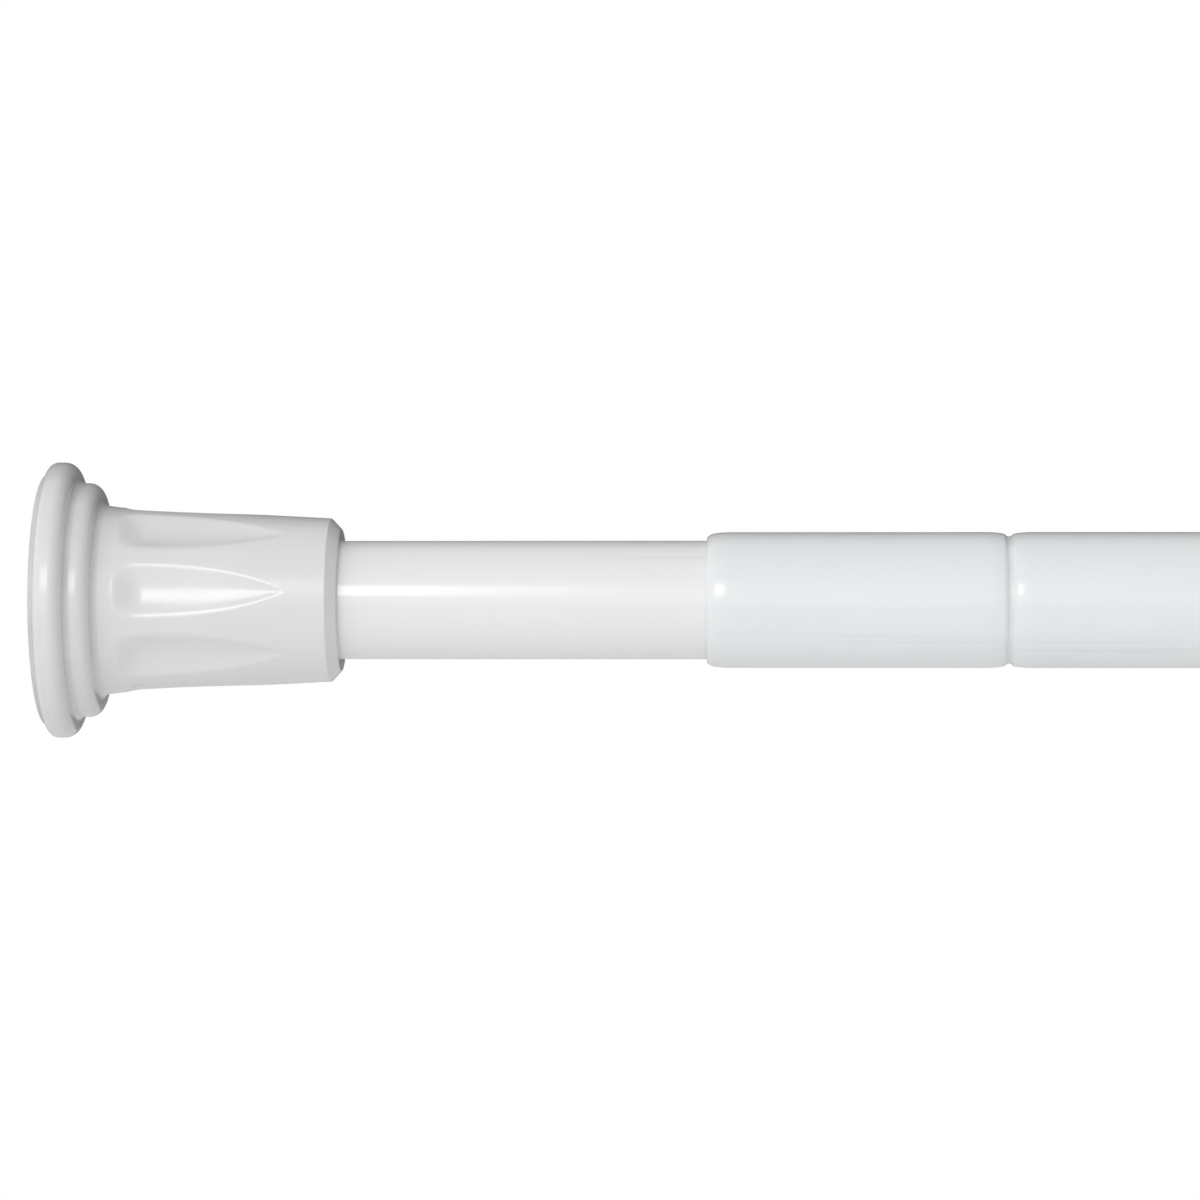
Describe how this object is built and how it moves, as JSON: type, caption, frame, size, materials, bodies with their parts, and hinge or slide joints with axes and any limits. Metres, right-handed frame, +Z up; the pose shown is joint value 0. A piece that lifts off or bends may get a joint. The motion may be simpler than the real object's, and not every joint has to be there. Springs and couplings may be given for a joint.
{
  "type": "spring tension rod",
  "caption": "White telescopic curtain rod with a flanged, fluted cap and wall pad at each end; an inner spring and a twist lock jam it between two walls.",
  "frame": {"origin": "middle of the left wall pad's face, on the rod's axis", "axes": "+X along the rod, from the thin tube's end to the thick tube's end; +Z up"},
  "size_m": [0.6283, 0.0518, 0.0518],
  "materials": {
    "pad_rubber": "matt grey rubber",
    "cap_plastic": "glossy white moulding",
    "inner_paint": "glossy white paint on steel tube",
    "outer_paint": "glossy white paint on steel tube",
    "plug_nylon": "natural nylon",
    "spring_steel": "oiled spring steel",
    "rod_steel": "zinc plated",
    "collet_nylon": "black nylon",
    "wedge_metal": "die cast",
    "nut_steel": "zinc plated",
    "sleeve_plastic": "natural polythene"
  },
  "bodies": {
    "small_end": {"left_wall_pad": "pad_rubber", "left_end_cap": "cap_plastic", "inner_tube": "inner_paint", "spring_stop": "plug_nylon", "tube_plug": "plug_nylon", "compression_spring": "spring_steel"},
    "plunger": {"plunger_rod": "rod_steel", "end_stop_nut": "nut_steel"},
    "lock": {"expander_collet": "collet_nylon"},
    "lock_wedge": {"wedge_nut": "wedge_metal"},
    "large_end": {"outer_tube": "outer_paint", "guide_sleeve": "sleeve_plastic", "right_end_cap": "cap_plastic", "right_wall_pad": "pad_rubber"}
  },
  "joints": [
    {"name": "spring_travel", "type": "slide", "parent": "small_end", "child": "plunger", "axis": [-1, 0, 0], "range_m": [0, 0.027], "stiffness_N_per_m": 1300, "springref_m": -0.015, "deforming": ["compression_spring"]},
    {"name": "twist_lock", "type": "hinge", "parent": "plunger", "child": "lock", "pos_m": [0.55, 0, 0], "axis": [1, 0, 0], "range_deg": [0, 270]},
    {"name": "wedge_slide", "type": "slide", "parent": "lock", "child": "lock_wedge", "axis": [1, 0, 0], "range_m": [0, 0.00226]},
    {"name": "telescope", "type": "slide", "parent": "lock", "child": "large_end", "axis": [1, 0, 0], "range_m": [-0.028, 0.318]}
  ],
  "couplings": [
    {"joint": "wedge_slide", "follows": "twist_lock", "m_per_rad": 0.00047746}
  ]
}
